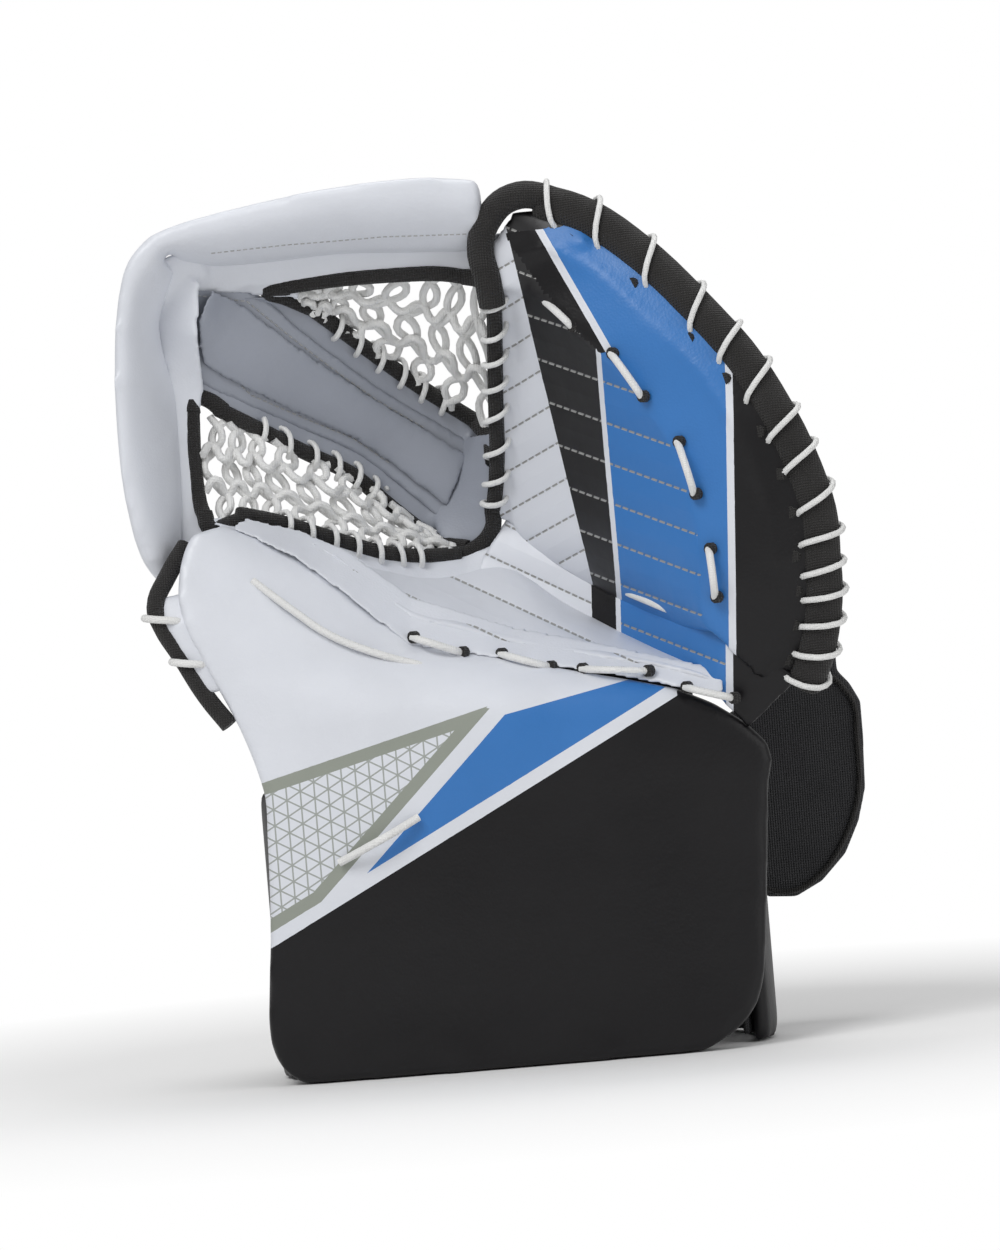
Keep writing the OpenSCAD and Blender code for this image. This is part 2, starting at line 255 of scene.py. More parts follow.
def braid(name, colour):
    """Waxed cotton lace with a fine diagonal braid."""
    mat, tree, bsdf = shader_base(name, colour, 0.6, sheen=0.05)
    u = math_node(tree, "SINE", math_node(tree, "MULTIPLY", along(tree, (0.6, 0.5, 0.6)), 5200.0))
    v = math_node(tree, "SINE", math_node(tree, "MULTIPLY", along(tree, (-0.6, 0.5, 0.6)), 5200.0))
    weave = math_node(tree, "MULTIPLY", u, v)
    tint(tree, bsdf, noise(tree, 120.0), shade(colour, 0.86), shade(colour, 1.05))
    bump(tree, bsdf, weave, 0.0002, 0.6)
    return mat


FINISHES = {}


def finish_of(key):
    """Makes each material once."""
    c = colours()
    makers = {
        "white": lambda: vinyl("White vinyl", tuple(c.white)),
        # painted shade: white vinyl darkened for the stem, its pad and the web under it
        "grey": lambda: vinyl("White vinyl with painted shade", tuple(c.grey)),
        "blue": lambda: vinyl("Blue vinyl", tuple(c.blue)),
        "black": lambda: vinyl("Black vinyl", tuple(c.black), 0.32, 0.45, 700.0, 0.0, 0.32),
        "patch": lambda: vinyl("Patch border vinyl", tuple(c.patch)),
        "lattice": lambda: lattice("Patch lattice", tuple(c.white), (0.33, 0.35, 0.33)),
        "white_quilt": lambda: quilted("White quilting", tuple(c.white), (-0.40, 0.0, 0.917), 0.0150),
        "palm_quilt": lambda: quilted("Palm quilting", tuple(c.white), (0.50, 0.0, 0.866), 0.0150),
        "black_quilt": lambda: quilted("Black quilting", tuple(c.black), (0.45, 0.0, 0.893), 0.0150),
        "blue_quilt": lambda: quilted("Blue quilting", tuple(c.blue), (0.45, 0.0, 0.893), 0.0150),
        "tape": lambda: webbing("Black nylon tape", (0.009, 0.008, 0.0075)),
        "thread": lambda: braid("Grey thread", (0.42, 0.42, 0.42)),
        "lace": lambda: braid("White lace", (0.80, 0.80, 0.79)),
        "lining": lambda: webbing("Black lining cloth", (0.02, 0.02, 0.022)),
        "foam": lambda: vinyl("Grey foam", (0.2, 0.2, 0.21), 0.7, 0.9, 400.0),
        "board": lambda: vinyl("Black board", (0.03, 0.03, 0.03), 0.4, 0.6, 300.0),
    }
    if key not in FINISHES:
        FINISHES[key] = makers[key]()
    return FINISHES[key]


# ---- shaping ----

def only(obj):
    bpy.ops.object.select_all(action="DESELECT")
    obj.select_set(True)
    bpy.context.view_layer.objects.active = obj


def apply_modifier(obj, kind, **settings):
    only(obj)
    mod = obj.modifiers.new(kind.title(), kind)
    for key, value in settings.items():
        setattr(mod, key, value)
    bpy.ops.object.modifier_apply(modifier=mod.name)


def merged(nodes):
    """Copies of CAD nodes in one bmesh, with the points that they share joined."""
    joined = bmesh.new()
    for node in nodes:
        joined.from_mesh(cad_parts[node].data)
    bmesh.ops.remove_doubles(joined, verts=joined.verts, dist=MERGE_DISTANCE)
    return joined


def as_object(name, joined):
    """A new object from a bmesh, without materials."""
    mesh = bpy.data.meshes.new(name)
    joined.to_mesh(mesh)
    joined.free()
    mesh.materials.clear()
    for face in mesh.polygons:
        face.material_index = 0
    obj = bpy.data.objects.new(name, mesh)
    bpy.context.scene.collection.objects.link(obj)
    return obj


def softened(obj, voxel, rounds):
    """Grows a piece together on a voxel grid, then smooths it."""
    apply_modifier(obj, "REMESH", mode="VOXEL", voxel_size=voxel)
    apply_modifier(obj, "SMOOTH", factor=SMOOTH_FACTOR, iterations=rounds)
    only(obj)
    bpy.ops.object.shade_smooth()
    return obj


def padded_copy(name, nodes, voxel=None, rounds=6):
    """A soft, rounded copy of CAD nodes."""
    return softened(as_object(name, merged(nodes)), voxel or sizes().voxel, rounds)


def on_rail(points, t):
    """The place a share t of the way along a list of points in millimetres."""
    s = t * (len(points) - 1)
    i = min(int(s), len(points) - 2)
    return at(*points[i]).lerp(at(*points[i + 1]), s - i)


def ruled(mesh, rail_a, rail_b, thick, back=(0, 1, 0), steps=24, across=4):
    """Adds a closed strip of leather between two rails of points in millimetres."""
    depth = Vector(back).normalized() * thick / 1000
    rows = []
    for i in range(steps + 1):
        a, b = on_rail(rail_a, i / steps), on_rail(rail_b, i / steps)
        front = [a.lerp(b, j / across) for j in range(across + 1)]
        ring = front + [p + depth for p in reversed(front)]
        rows.append([mesh.verts.new(p) for p in ring])
    count = len(rows[0])
    for one, two in zip(rows, rows[1:]):
        for k in range(count):
            n = (k + 1) % count
            mesh.faces.new((one[k], one[n], two[n], two[k]))
    mesh.faces.new(rows[0][::-1])
    mesh.faces.new(rows[-1])


def strips(name, rails, thick=3.0, voxel=0.0016, nodes=(), back=(0, 1, 0), rounds=3):
    """Strips, and copies of CAD nodes with them, grown together into one soft piece."""
    joined = merged(nodes)
    for rail_a, rail_b in rails:
        ruled(joined, rail_a, rail_b, thick, back)
    bmesh.ops.recalc_face_normals(joined, faces=joined.faces)
    return softened(as_object(name, joined), voxel, rounds)


def give(obj, *keys):
    for key in keys:
        obj.data.materials.append(finish_of(key))


def settle(obj, body, nodes):
    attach(obj, body)
    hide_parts(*nodes)


def cut_along(obj, a, b, offset=0.0):
    """Cuts the mesh along the upright plane through two points of the front view."""
    p, q = at(a[0], 0, a[1]), at(b[0], 0, b[1])
    d = (q - p).normalized()
    normal = Vector((-d.z, 0, d.x))
    only(obj)
    bpy.ops.object.mode_set(mode="EDIT")
    bpy.ops.mesh.select_all(action="SELECT")
    bpy.ops.mesh.bisect(plane_co=p + normal * offset / 1000, plane_no=normal)
    bpy.ops.object.mode_set(mode="OBJECT")


def left_of(point, a, b, offset=0.0):
    """True where a point lies on the left of the line from a to b, seen from the front."""
    p, q = at(a[0], 0, a[1]), at(b[0], 0, b[1])
    d = (q - p).normalized()
    return -(point.x - p.x) * d.z + (point.z - p.z) * d.x > offset / 1000


def tube(name, routes, radius, key, body, sides=3):
    """Round cords along routes of points, as one mesh."""
    curve = bpy.data.curves.new(name, "CURVE")
    curve.dimensions = "3D"
    curve.bevel_depth = radius
    curve.bevel_resolution = sides
    curve.use_fill_caps = True
    curve.resolution_u = 5
    for route in routes:
        spline = curve.splines.new("BEZIER")
        spline.bezier_points.add(len(route) - 1)
        for knot, place in zip(spline.bezier_points, route):
            knot.co = place
            knot.handle_left_type = knot.handle_right_type = "AUTO"
    obj = bpy.data.objects.new(name, curve)
    bpy.context.scene.collection.objects.link(obj)
    only(obj)
    if not curve.splines:
        raise RuntimeError(f"{name} has no route")
    bpy.ops.object.convert(target="MESH")
    obj = bpy.context.object
    bpy.ops.object.shade_smooth()
    give(obj, key)
    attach(obj, body)
    return obj


def rounded(name, node, key):
    """A CAD cord or roll made round, in its finish."""
    obj = as_object(name, merged([node]))
    apply_modifier(obj, "SUBSURF", levels=1, render_levels=1)
    only(obj)
    bpy.ops.object.shade_smooth()
    give(obj, key)
    return obj


def crosses_palm(obj):
    """Takes a soft piece of the T, which spans the thumb and the finger tips, off any body and bakes its
    placement into its points.
    """
    obj.parent = None
    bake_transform(obj)


# ---- edges that the soft leather runs between, in millimetres ----
FACE_EDGE = [(30, -13, 334), (46, -24, 336), (72, -34, 320), (90, -43, 298), (104, -49, 280),
             (115, -54, 259), (122, -55, 240), (128, -55, 220), (129, -54, 200), (128, -52, 186),
             (127, -49, 172), (124, -45, 160), (116, -41, 152)]
RIM_EDGE = [(40, -14, 350), (63, -24, 345), (87, -35, 324), (108, -44, 299), (121, -50, 281),
            (133, -54, 258), (140, -55, 240), (146, -54, 218), (146, -53, 200), (146, -50, 186),
            (144, -47, 172), (140, -42, 158), (132, -36, 146)]
STEM_TOP = [(-100, -2, 335), (-77, 10, 331), (-59, 22, 314), (-43, 34, 300), (-26, 46, 286),
            (-7, 56, 273), (10, 60, 261)]
STEM_LOW = [(-105, 8, 306), (-85, 24, 284), (-64, 38, 273), (-44, 48, 263), (-29, 56, 251),
            (-6, 60, 229)]
UPPER_LOW = [(-62, 12, 328), (-54, 22, 323), (-45, 28, 315), (-29, 40, 302), (-12, 51, 288),
             (3, 57, 277), (14, 60, 266)]
LOWER_TOP = [(-106, 12, 290), (-81, 27, 274), (-61, 41, 262), (-43, 51, 252), (-30, 58, 239),
             (-12, 62, 222)]
PALM_EDGE = [(-98, -6, 234), (-68, 11, 225), (-50, 20, 216), (-30, 30, 209), (-14, 36, 205),
             (2, 42, 206), (20, 46, 211)]
LOWER_LOW = [(-104, 4, 238), (-74, 13, 233), (-54, 22, 225), (-33, 32, 217), (-15, 40, 214),
             (4, 46, 214), (20, 46, 218)]
CREASE_LOW = [(6, 42, 206), (34, 34, 189), (52, 20, 178), (70, 2, 167), (88, -18, 158),
              (99, -33, 149), (114, -35, 131)]
CREASE_TOP = [(22, 46, 228), (46, 33, 207), (62, 19, 196), (78, 0, 186), (94, -24, 179),
              (110, -42, 172), (136, -42, 150)]
# the inner edge of the finger leather and the tip, behind their black tape
WINDOW_SIDE = [(23, -4, 322), (22, 8, 304), (21, 17, 290), (20, 25, 275), (19, 33, 256),
               (17, 39, 240), (15, 43, 228)]
DEEP_SIDE = [(33, -8, 322), (33, 8, 306), (34, 16, 292), (32, 25, 275), (31, 33, 256), (30, 39, 240),
             (29, 43, 224)]
TIP_OUTER = [(22, -8, 322), (24, -12, 341), (34, -18, 353), (48, -18, 353), (63, -23, 347)]
TIP_INNER = [(35, -10, 320), (38, -16, 332), (44, -20, 338), (52, -24, 338), (63, -30, 336)]
# tape that closes the corners of the windows
TAPE_CORNERS = [[(16, 43, 233), (15, 47, 223), (6, 49, 215), (-8, 44, 213)],
                [(-105, 5, 239), (-103, 3, 233), (-94, 5, 234), (-86, 8, 237)],
                [(-62, 8, 331.5), (-71, 11, 331), (-64, 16, 328), (-54, 22, 323)],
                [(-107, 12, 282), (-107, 14, 289), (-101, 17, 288), (-94, 20, 282)],
                [(12, 4.5, 329.5), (19, 1, 327), (23, -4, 321)],
                [(12, 59, 270), (17, 50, 262), (18, 40, 252)],
                [(-16, 61, 226), (-8, 58, 220), (4, 50, 216)]]

# ---- lines of the printed shapes, x and z in the front view ----
CUFF_LINE = ((-90, 57), (86, 147))
BLUE_LEFT = ((-56, 77), (14, 145))
PATCH_TOP = ((-89, 125), (7, 149))
BLUE_TOP = ((14, 145), (108, 163))
TIP_LINE = ((43, 349), (69, 292))
FACE_LINE = ((117, 274), (111, 184))
STRIP_ONE = ((37, 312), (55, 200))
STRIP_TWO = ((65, 292), (66, 194))
# widths of the printed stripes and borders
STRIPE = 5.5
MARGIN = 6.5
BORDER = 5.0
PIPE = 1.5
THIN_PIPE = 1.0
# where the crease leather changes colour, and the finish that follows each change
CREASE_CHANGES = (52, 62, 64, 106, 109)
CREASE_FINISHES = (0, 1, 3, 2, 3, 1)
RIM_EYELETS = [(x - 6, y - 1, z - 6) for x, y, z in RIM_EDGE[1:7]] + [
    (x - 9, y - 1, z) for x, y, z in RIM_EDGE[7:12]]


def front_zone(p):
    """Which finish shows at a point of the thumb and cuff front."""
    if not left_of(p, *CUFF_LINE) or p.x > at(86, 0, 0).x:
        return "black"
    if not left_of(p, *CUFF_LINE, STRIPE):
        return "white"
    if left_of(p, *BLUE_TOP):
        return "white" if p.x > at(7, 0, 0).x or left_of(p, *PATCH_TOP) else patch_zone(p)
    if not left_of(p, *BLUE_LEFT):
        return "blue"
    return patch_zone(p)


def patch_zone(p):
    """Which finish shows at a point of the patch on the thumb or its white margin."""
    if not left_of(p, *BLUE_LEFT, MARGIN) or left_of(p, *PATCH_TOP):
        return "white"
    inside = (left_of(p, *BLUE_LEFT, MARGIN + BORDER) and not left_of(p, *PATCH_TOP, -BORDER)
              and left_of(p, *CUFF_LINE, STRIPE + BORDER))
    return "lattice" if inside else "patch"


def sewn(name, target, outline, pitch=2.6, radius=0.00032):
    """A row of stitches laid on the front of a piece along an outline of x and z."""
    marks = [at(x, 0, z) for x, z in outline]
    spots = []
    for a, b in zip(marks, marks[1:]):
        count = max(1, round((b - a).length * 1000 / pitch))
        spots += [(a.lerp(b, i / count), a.lerp(b, (i + 0.62) / count)) for i in range(count)]
    routes = []
    for ends in spots:
        hits = [target.ray_cast(Vector((p.x, -0.5, p.z)), Vector((0, 1, 0))) for p in ends]
        if all(hit[0] for hit in hits):
            routes.append([hit[1] - Vector((0, 0.00012, 0)) for hit in hits])
    return tube(name, routes, radius, "thread", "thumb_side", 1)


class GLOVE_OT_thumb(bpy.types.Operator):
    """Make the padded thumb and cuff front with its coloured panels"""
    bl_idname = "glove.thumb"
    bl_label = "Thumb and Cuff"

    def execute(self, context):
        obj = padded_copy("thumb_and_cuff", THUMB_LAYERS, rounds=14)
        for line, offsets in ((CUFF_LINE, (0, STRIPE, STRIPE + BORDER)),
                              (BLUE_LEFT, (0, MARGIN, MARGIN + BORDER)),
                              (PATCH_TOP, (0, -BORDER)), (BLUE_TOP, (0,))):
            for offset in offsets:
                cut_along(obj, *line, offset)
        names = ["white", "black", "blue", "patch", "lattice"]
        give(obj, *names)
        for face in obj.data.polygons:
            front = face.normal.y < 0.3 or (face.center.z > 0.14 and face.normal.y < 0.8)
            zone = front_zone(face.center) if front else "black"
            face.material_index = names.index(zone)
            face.use_smooth = True
        settle(obj, "thumb_side", THUMB_LAYERS)
        palm = padded_copy("thumb_palm", ["thumb_palm_leather"], voxel=0.0014, rounds=3)
        give(palm, "palm_quilt")
        settle(palm, "thumb_side", ["thumb_palm_leather"])
        under_palm = [(x, y - 3, z - 4) for x, y, z in PALM_EDGE]
        thumb_top = [(-94, -12, 232), (-68, -13, 217), (-48, -16, 200), (-24, -19, 177), (18, -19.5, 167),
                     (58, -26, 158), (104, -40, 145)]
        palm_low = [(-88, 0, 236), (-66, 7, 229), (-47, 7, 219), (-21, 1, 197), (20, -2, 181),
                    (60, -13, 170), (106, -33, 156)]
        edge = strips("thumb_palm_edge", [(under_palm, LOWER_LOW), (thumb_top, palm_low)], 2.5, 0.0013)
        give(edge, "white")
        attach(edge, "thumb_side")
        outer = [(-109, -32, 163), (-117, -31, 180), (-124, -30, 193), (-125, -24, 205)]
        inner = [(-98, -35, 165), (-105, -34, 180), (-110, -32, 194), (-106, -26, 208)]
        gusset = strips("thumb_gusset", [(outer, inner)])
        give(gusset, "white")
        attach(gusset, "thumb_side")
        crease = strips("palm_crease", [(CREASE_LOW, CREASE_TOP)], 3.0, 0.0014)
        give(crease, "palm_quilt", "black", "blue_quilt", "white")
        changes = [((x, 150), (x + 4, 210)) for x in CREASE_CHANGES]
        for change in changes:
            cut_along(crease, *change)
        for face in crease.data.polygons:
            passed = sum(not left_of(face.center, *change) for change in changes)
            face.material_index = CREASE_FINISHES[passed]
        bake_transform(crease)
        band = [(-113, -12, 226), (-121, -20, 214), (-127, -25, 201), (-125, -26.5, 193), (-118, -28, 180),
                (-109, -30, 163), (-100, -32, 150)]
        tube("thumb_edge_band", [[at(*p) for p in band]], 0.0038, "tape", "thumb_side", 4)
        loops = [[at(x - 4, y + 5, z + 1), at(x - 5.5, y - 2, z + 1), at(x, y - 5.5, z),
                  at(x + 7, y - 4, z - 1), at(x + 11, y - 1, z - 2)]
                 for x, y, z in ((-126, -26, 196), (-116, -28, 177))]
        tube("thumb_edge_laces", loops, LACE_RADIUS, "lace", "thumb_side")
        settle(rounded("thumb_edge_tape", "thumb_edge_binding", "tape"), "thumb_side",
               ["thumb_edge_binding"])
        return {"FINISHED"}


class GLOVE_OT_finger(bpy.types.Operator):
    """Make the padded finger side with its face panels and quilted strips"""
    bl_idname = "glove.finger"
    bl_label = "Finger Side"

    def execute(self, context):
        rails = [(FACE_EDGE, RIM_EDGE), (WINDOW_SIDE, DEEP_SIDE), (TIP_OUTER, TIP_INNER)]
        obj = strips("finger_side_pad", rails, 5.0, sizes().voxel, FINGER_LAYERS, back=FINGER_BACK,
                     rounds=5)
        for line, offsets in ((TIP_LINE, (-PIPE, PIPE)), (FACE_LINE, (-PIPE, PIPE)),
                              (STRIP_ONE, (0,)), (STRIP_TWO, (-THIN_PIPE, THIN_PIPE))):
            for offset in offsets:
                cut_along(obj, *line, offset)
        names = ["blue", "black", "white", "white_quilt", "black_quilt", "blue_quilt"]
        give(obj, *names)
        seam = [at(*p) for p in ((30, 0, 345), (46, 0, 317), (60, 0, 297), (72, 0, 283), (83, 0, 266),
                                 (91, 0, 251), (96, 0, 232), (99, 0, 214), (98, 0, 170))]
        for face in obj.data.polygons:
            face.use_smooth = True
            face.material_index = names.index(self.zone(face, seam))
        settle(obj, "finger_side", FINGER_LAYERS)
        return {"FINISHED"}

    def zone(self, face, seam):
        p = face.center
        if face.normal.dot(Vector(FINGER_BACK)) > -0.1:
            return "black"
        edge = seam[-1].x
        for a, b in zip(seam, seam[1:]):
            if b.z <= p.z <= a.z:
                edge = a.x + (b.x - a.x) * (a.z - p.z) / (a.z - b.z)
        if p.x > edge:
            if p.z > at(0, 0, 290).z:
                if left_of(p, *TIP_LINE[::-1], PIPE):
                    return "black"
                if left_of(p, *TIP_LINE[::-1], -PIPE):
                    return "white"
            if left_of(p, *FACE_LINE, PIPE):
                return "black"
            return "white" if left_of(p, *FACE_LINE, -PIPE) else "blue"
        if not left_of(p, *STRIP_ONE):
            return "white_quilt"
        if left_of(p, *STRIP_TWO, THIN_PIPE):
            return "blue_quilt"
        return "white" if left_of(p, *STRIP_TWO, -THIN_PIPE) else "black_quilt"


class GLOVE_OT_tee(bpy.types.Operator):
    """Make the padded bars, stem and stem pad of the T"""
    bl_idname = "glove.tee"
    bl_label = "T Pocket Bars"

    def execute(self, context):
        bars = padded_copy("tee_bars", ["tee_top_bar", "tee_left_bar"], voxel=0.0024, rounds=10)
        give(bars, "white")
        self.web()
        crosses_palm(sewn("bar_stitches", bars, [(-92, 346.5), (-60, 347.5), (-20, 347.5), (18, 345.5)]))
        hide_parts("tee_top_bar", "tee_left_bar")
        crosses_palm(bars)
        for name, node in (("tee_stem_body", "tee_stem"), ("tee_stem_cushion", "tee_stem_pad")):
            obj = padded_copy(name, [node], voxel=0.0014, rounds=4)
            # painted shade: the stem and its pad take the darkened white vinyl
            give(obj, "grey")
            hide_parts(node)
            if node == "tee_stem":
                seams = ([(x - 3, z - 4) for x, y, z in STEM_TOP[:6]],
                         [(x + 3, z + 4) for x, y, z in STEM_LOW[:5]])
                for i, seam in enumerate(seams):
                    crosses_palm(sewn(f"stem_stitches_{i}", obj, seam))
            crosses_palm(obj)
        return {"FINISHED"}

    def web(self):
        """The vinyl between the bars, the stem and the window edges."""
        top = [(-112, -8, 346), (-90, -4, 348), (-60, -2, 350), (-30, -2, 350), (8, -2, 349), (30, -4, 346)]
        window = [(-104, -2, 332), (-88, 4, 333), (-62, 6, 332), (-36, 6, 333), (-2, 5, 332), (24, 2, 329)]
        left = [(-117, 0, 340), (-119, 4, 320), (-117, 7, 295), (-116, 7, 268), (-117, 5, 240),
                (-118, 4, 218)]
        inner = [(-98, -8, 336), (-101, -5, 314), (-101, 11, 292), (-108, 11, 266), (-107, 8, 244),
                 (-104, 2, 226)]
        corner = ([(-122, -12, 342), (-112, -11, 347), (-98, -11, 350)],
                  [(-116, 0, 328), (-106, -2, 332), (-94, -2, 337)])
        obj = strips("tee_web", [(top, window), (left, inner), corner,
                                 ([(-102, -3, 340), (-80, 4, 341), (-58, 6, 338)],
                                  [(-100, -2, 332), (-80, 8, 330), (-58, 10, 326)])])
        give(obj, "white")
        crosses_palm(obj)
        under_top = [(x - 5, y + 3, z - 5) for x, y, z in STEM_TOP]
        under_low = [(x + 4, y + 3, z + 6) for x, y, z in STEM_LOW]
        throat = ([(6, 62, 264), (-2, 62, 246), (-10, 60, 230), (-8, 54, 220)],
                  [(21, 34, 264), (20, 39, 245), (18, 44, 229), (12, 48, 216)])
        obj = strips("stem_web", [(under_top, UPPER_LOW), (under_low, LOWER_TOP), throat])
        # painted shade: the vinyl under the stem takes the same darkened white
        give(obj, "grey")
        crosses_palm(obj)


class GLOVE_OT_pocket(bpy.types.Operator):
    """Make the window bindings and the woven lace of the pocket"""
    bl_idname = "glove.pocket"
    bl_label = "Pocket Lacing"

    def execute(self, context):
        for name, node, key, slot in (
                ("window_tape_upper", "window_binding_upper", "tape", "webbing"),
                ("window_tape_lower", "window_binding_lower", "tape", "webbing"),
                ("whip_lace_upper", "window_lace_upper", "lace", "lace"),
                ("whip_lace_lower", "window_lace_lower", "lace", "lace")):
            obj = rounded(name, node, key)
            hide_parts(node)
            crosses_palm(obj)
        corners = tube("window_tape_corners", [[at(*p) for p in route] for route in TAPE_CORNERS], 0.0036,
                       "tape", "thumb_side", 4)
        crosses_palm(corners)
        self.net("pocket_net_upper", "pocket_lace_upper",
                 [(-60, 9, 331), (-37, 9, 333), (-2, 7, 332), (20, 5, 329)],
                 [(-56, 20, 322), (-45, 28, 315), (-12, 51, 288), (20, 55, 262)], 7, 3)
        self.net("pocket_net_lower", "pocket_lace_lower",
                 [(-104, 16, 282), (-81, 27, 272), (-43, 51, 252), (-12, 58, 224)],
                 [(-104, 6, 236), (-74, 15, 233), (-33, 34, 217), (0, 46, 215)], 9, 3)
        return {"FINISHED"}

    def net(self, name, node, top, low, across, rows):
        """Cords that wander over and under each other between two edges."""
        routes = []
        for phase in (0, 1):
            for i in range(across):
                route = []
                for j in range(rows * 2 + 1):
                    v = j / (rows * 2)
                    swing = 0.55 * math.sin(math.pi * (j + phase) * 0.5 + phase)
                    u = min(max((i + 0.5 + swing + 0.5 * phase) / across, 0.0), 1.0)
                    p = on_rail(top, u).lerp(on_rail(low, u), v)
                    p.y += 0.0022 * (-1) ** (i + j + phase) + 0.004 * math.sin(math.pi * v)
                    route.append(p)
                routes.append(route)
        for j in range(1, rows):
            v = j / rows
            route = []
            for i in range(across * 2 + 1):
                u = i / (across * 2)
                wave = 0.07 * math.sin(math.pi * i + j)
                p = on_rail(top, u).lerp(on_rail(low, u), v + wave)
                p.y += 0.0022 * (-1) ** (i + j)
                route.append(p)
            routes.append(route)
        obj = tube(name, routes, sizes().pocket_cord, "lace", "thumb_side", sides=2)
        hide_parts(node)
        crosses_palm(obj)


class GLOVE_OT_lacing(bpy.types.Operator):
    """Make the rim roll and the laces of both sides"""
    bl_idname = "glove.lacing"
    bl_label = "Rim and Laces"

    def execute(self, context):
        for name, node, body, key, slot in (
                ("rim_tape", "finger_rim_binding", "finger_side", "tape", "webbing"),
                ("rim_lace", "finger_rim_lace", "finger_side", "lace", "lace"),
                ("finger_window_tape", "finger_window_binding", "finger_side", "tape", "webbing"),
                ("finger_window_whip", "finger_window_lace", "finger_side", "lace", "lace")):
            settle(rounded(name, node, key), body, [node])
        tip = [(23, -5, 316), (22, -9, 326), (20, -12, 340), (25, -17, 352), (35, -20, 359),
               (48, -18, 358), (60, -21, 350)]
        tube("finger_tip_tape", [[at(*p) for p in tip]], 0.0058, "tape", "finger_side", 5)
        ties = [((43, -14, 317), (55, -28, 303)), ((70, -37, 290), (81, -42, 271)),
                ((94, -46, 251), (99, -49, 229)), ((103, -50, 206), (104, -49, 186)),
                ((68, 8, 192), (90, -18, 180))]
        routes = [self.arc(a, b) for a, b in ties]
        obj = tube("finger_tie_laces", routes, LACE_RADIUS, "lace", "finger_side")
        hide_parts("finger_tie_lace")
        self.eyelets("finger_eyelets", [p for pair in ties for p in pair], "finger_side")
        self.eyelets("rim_eyelets", RIM_EYELETS, "finger_side")
        low = [((-22, -20, 180), (-2, -20, 172)), ((14, -19, 170), (34, -22, 163)),
               ((47, -25, 161), (74, -31, 158)), ((89, -38, 150), (108, -42, 144))]
        self.eyelets("palm_eyelets", [p for pair in low for p in pair], "thumb_side")
        routes = [self.arc(a, b) for a, b in low]
        routes.append([at(*p) for p in ((-86, -23, 209), (-71, -27, 196), (-56, -27, 184),
                                        (-38, -27, 175), (-19, -25, 168))])
        obj = tube("thumb_tie_laces", routes, LACE_RADIUS, "lace", "thumb_side")
        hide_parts("thumb_lace")
        tie = ((-59, -43, 90), (-48, -47, 95), (-35, -47, 101), (-25, -44, 106))
        obj = tube("cuff_tie_lace", [[at(*p) for p in tie]], CUFF_LACE_RADIUS, "lace", "thumb_side")
        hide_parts("cuff_lace")
        return {"FINISHED"}

    def eyelets(self, name, places, body):
        """Punched holes with a dark rim, where a lace goes through."""
        routes = [[at(x, y + 0.4, z), at(x + 1.6, y + 2.4, z)] for x, y, z in places]
        tube(name, routes, 0.0026, "tape", body, 3)

    def arc(self, a, b):
        p, q = at(*a), at(*b)
        lift = Vector((0, -0.002, 0))
        return [p - lift, p.lerp(q, 0.2) + lift, p.lerp(q, 0.8) + lift, q - lift]


class GLOVE_OT_back(bpy.types.Operator):
    """Make the wrist wall, back of the hand, liner and inner layers"""
    bl_idname = "glove.back"
    bl_label = "Back and Liner"

    def execute(self, context):
        for name, node, key, slot, voxel in (
                ("wrist_wall", "cuff_back_shell", "black", "black_vinyl", 0.003),
                ("wrist_cloth", "wrist_liner", "lining", "lining", 0.0015),
                ("hand_back_pad", "backhand_pad", "black", "black_vinyl", 0.002),
                ("hand_glove", "hand_liner", "lining", "lining", 0.0016)):
            obj = padded_copy(name, [node], voxel=voxel, rounds=8 if voxel > 0.0018 else 2)
            give(obj, key)
            settle(obj, "thumb_side", [node])
        hand_edge = [(-60, 86, 148), (-46, 88, 180), (-12, 89, 195), (44, 89, 195), (82, 85, 176),
                     (96, 79, 148)]
        palm_edge = [(-100, -10, 205), (-68, 14, 218), (-22, 36, 203), (18, 52, 206), (54, 30, 180),
                     (106, -18, 142)]
        cover = strips("pocket_back_cover", [(hand_edge, palm_edge)], 4.0, 0.002)
        give(cover, "black")
        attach(cover, "thumb_side")
        return {"FINISHED"}


class GLOVE_OT_strap(bpy.types.Operator):
    """Make the wrist strap flap, its anchor and hook and loop patches"""
    bl_idname = "glove.strap"
    bl_label = "Wrist Strap"

    def execute(self, context):
        obj = padded_copy("strap_flap", ["wrist_strap"], voxel=0.0012, rounds=5)
        give(obj, "lining")
        settle(obj, "strap", ["wrist_strap"])
        root = strips("strap_root", [([(94, 84, 72), (94, 84, 126)], [(114, 88, 72), (114, 88, 126)])],
                      2.5, 0.0012)
        give(root, "tape")
        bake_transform(root)
        border = [(112, 66), (123, 57), (134, 56), (145, 62), (154, 72), (161, 85), (165, 98), (166, 121),
                  (166, 134), (162, 142), (157, 148)]
        tube("strap_border_piping", [[at(x, 85, z) for x, z in border]], 0.0012, "tape", "strap",
             2)
        for node in ("strap_hook_patch", "strap_loop_patch", "strap_anchor"):
            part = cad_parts[node]
            part.data.materials.clear()
            part.data.materials.append(finish_of("tape"))
        return {"FINISHED"}


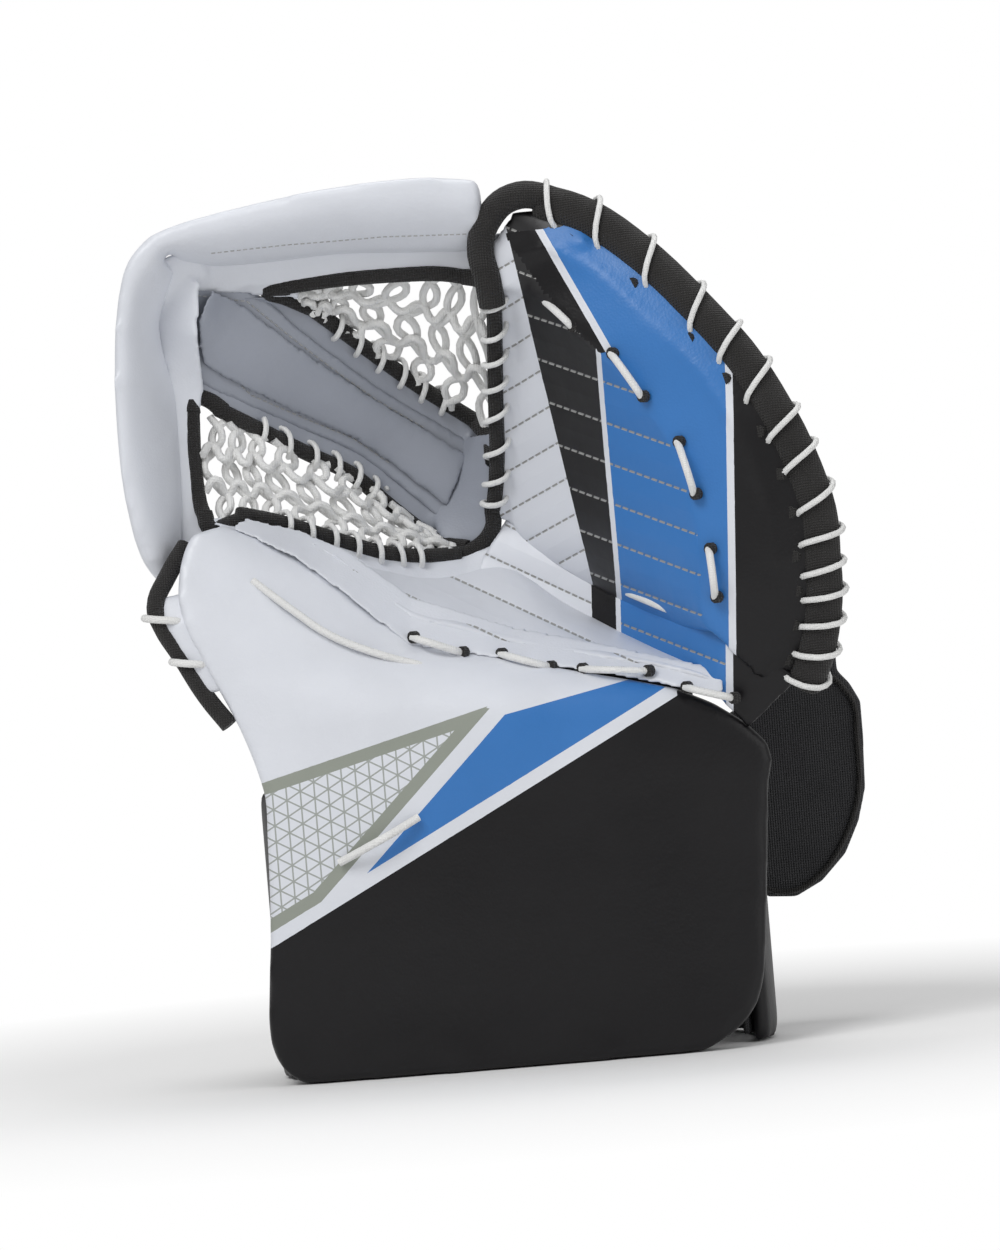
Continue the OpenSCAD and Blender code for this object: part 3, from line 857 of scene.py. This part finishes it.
class GLOVE_OT_stage(bpy.types.Operator):
    """Make the pale floor, the lamps and the camera"""
    bl_idname = "glove.stage"
    bl_label = "Stage"

    def execute(self, context):
        scene = context.scene
        scene.view_settings.view_transform = "Standard"
        roll = math.radians(CAMERA_ROLL)
        camera = bpy.data.cameras.new("Camera")
        camera.sensor_fit = "VERTICAL"
        camera.sensor_height = 24.0
        camera.lens = CAMERA_LENS
        eye = bpy.data.objects.new("Camera", camera)
        scene.collection.objects.link(eye)
        turn = Matrix(((math.cos(roll), math.sin(roll), 0, 0), (0, 0, -1, 0),
                       (-math.sin(roll), math.cos(roll), 0, 0), (0, 0, 0, 1)))
        eye.matrix_world = Matrix.Translation(at(*CAMERA_PLACE)) @ turn
        scene.camera = eye
        self.floor(scene)
        self.lamp("Key", (-0.9, -1.5, 1.7), 1.0, 23.0)
        self.lamp("Fill", (1.4, -1.2, 0.7), 1.3, 6.0)
        self.lamp("Top", (0.1, 0.3, 1.9), 1.0, 9.0)
        world = bpy.data.worlds.new("Studio")
        scene.world = world
        world.use_nodes = True
        tree = world.node_tree
        path = tree.nodes.new("ShaderNodeLightPath")
        seen = math_node(tree, "MAXIMUM", path.outputs["Is Camera Ray"], path.outputs["Is Transmission Ray"])
        strength = math_node(tree, "MULTIPLY_ADD", seen, 0.58)
        strength.node.inputs[2].default_value = 0.42
        tree.links.new(strength, tree.nodes["Background"].inputs["Strength"])
        tree.nodes["Background"].inputs["Color"].default_value = (1, 1, 1, 1)
        return {"FINISHED"}

    def floor(self, scene):
        bpy.ops.object.select_all(action="DESELECT")
        bpy.ops.mesh.primitive_plane_add(size=8, location=(0, 0, -0.0005))
        plane = bpy.context.object
        plane.name = "floor"
        mat, tree, bsdf = shader_base("Pale floor", (0.9, 0.9, 0.9), 0.8)
        length = tree.nodes.new("ShaderNodeVectorMath")
        length.operation = "LENGTH"
        tree.links.new(object_coords(tree), length.inputs[0])
        far = tree.nodes.new("ShaderNodeMapRange")
        far.inputs["From Min"].default_value = 0.22
        far.inputs["From Max"].default_value = 0.5
        tree.links.new(length.outputs["Value"], far.inputs["Value"])
        path = tree.nodes.new("ShaderNodeLightPath")
        white = tree.nodes.new("ShaderNodeEmission")
        mix = tree.nodes.new("ShaderNodeMixShader")
        tree.links.new(math_node(tree, "MULTIPLY", far.outputs["Result"], path.outputs["Is Camera Ray"]),
                       mix.inputs["Fac"])
        tree.links.new(bsdf.outputs["BSDF"], mix.inputs[1])
        tree.links.new(white.outputs["Emission"], mix.inputs[2])
        tree.links.new(mix.outputs["Shader"], tree.nodes["Material Output"].inputs["Surface"])
        plane.data.materials.append(mat)

    def lamp(self, name, place, size, power):
        light = bpy.data.lights.new(name, "AREA")
        light.energy = power
        light.size = size
        obj = bpy.data.objects.new(name, light)
        bpy.context.scene.collection.objects.link(obj)
        obj.location = place
        aim = Vector((0, 0, 0.18)) - Vector(place)
        obj.rotation_euler = aim.to_track_quat("-Z", "Y").to_euler()


class GLOVE_PT_panel(bpy.types.Panel):
    """Lists the glove's pieces and colours"""
    bl_idname = "GLOVE_PT_panel"
    bl_label = "Catch Glove"
    bl_space_type = "VIEW_3D"
    bl_region_type = "UI"
    bl_category = "Catch Glove"

    def draw(self, context):
        for group in (context.scene.glove_colours, context.scene.glove_sizes):
            for key in group.__annotations__:
                self.layout.prop(group, key)
        for operator in OPERATORS:
            self.layout.operator(operator.bl_idname)


OPERATORS = (GLOVE_OT_stage, GLOVE_OT_thumb, GLOVE_OT_finger, GLOVE_OT_tee, GLOVE_OT_pocket,
             GLOVE_OT_lacing, GLOVE_OT_back, GLOVE_OT_strap)
CLASSES = (GloveColours, GloveSizes, *OPERATORS, GLOVE_PT_panel)


def register():
    for cls in CLASSES:
        bpy.utils.register_class(cls)
    bpy.types.Scene.glove_colours = bpy.props.PointerProperty(type=GloveColours)
    bpy.types.Scene.glove_sizes = bpy.props.PointerProperty(type=GloveSizes)


def unregister():
    del bpy.types.Scene.glove_sizes
    del bpy.types.Scene.glove_colours
    for cls in reversed(CLASSES):
        bpy.utils.unregister_class(cls)


def main():
    register()
    bpy.ops.glove.stage()
    bpy.ops.glove.thumb()
    bpy.ops.glove.finger()
    bpy.ops.glove.tee()
    bpy.ops.glove.pocket()
    bpy.ops.glove.lacing()
    bpy.ops.glove.back()
    bpy.ops.glove.strap()


if __name__ == "__main__":
    main()
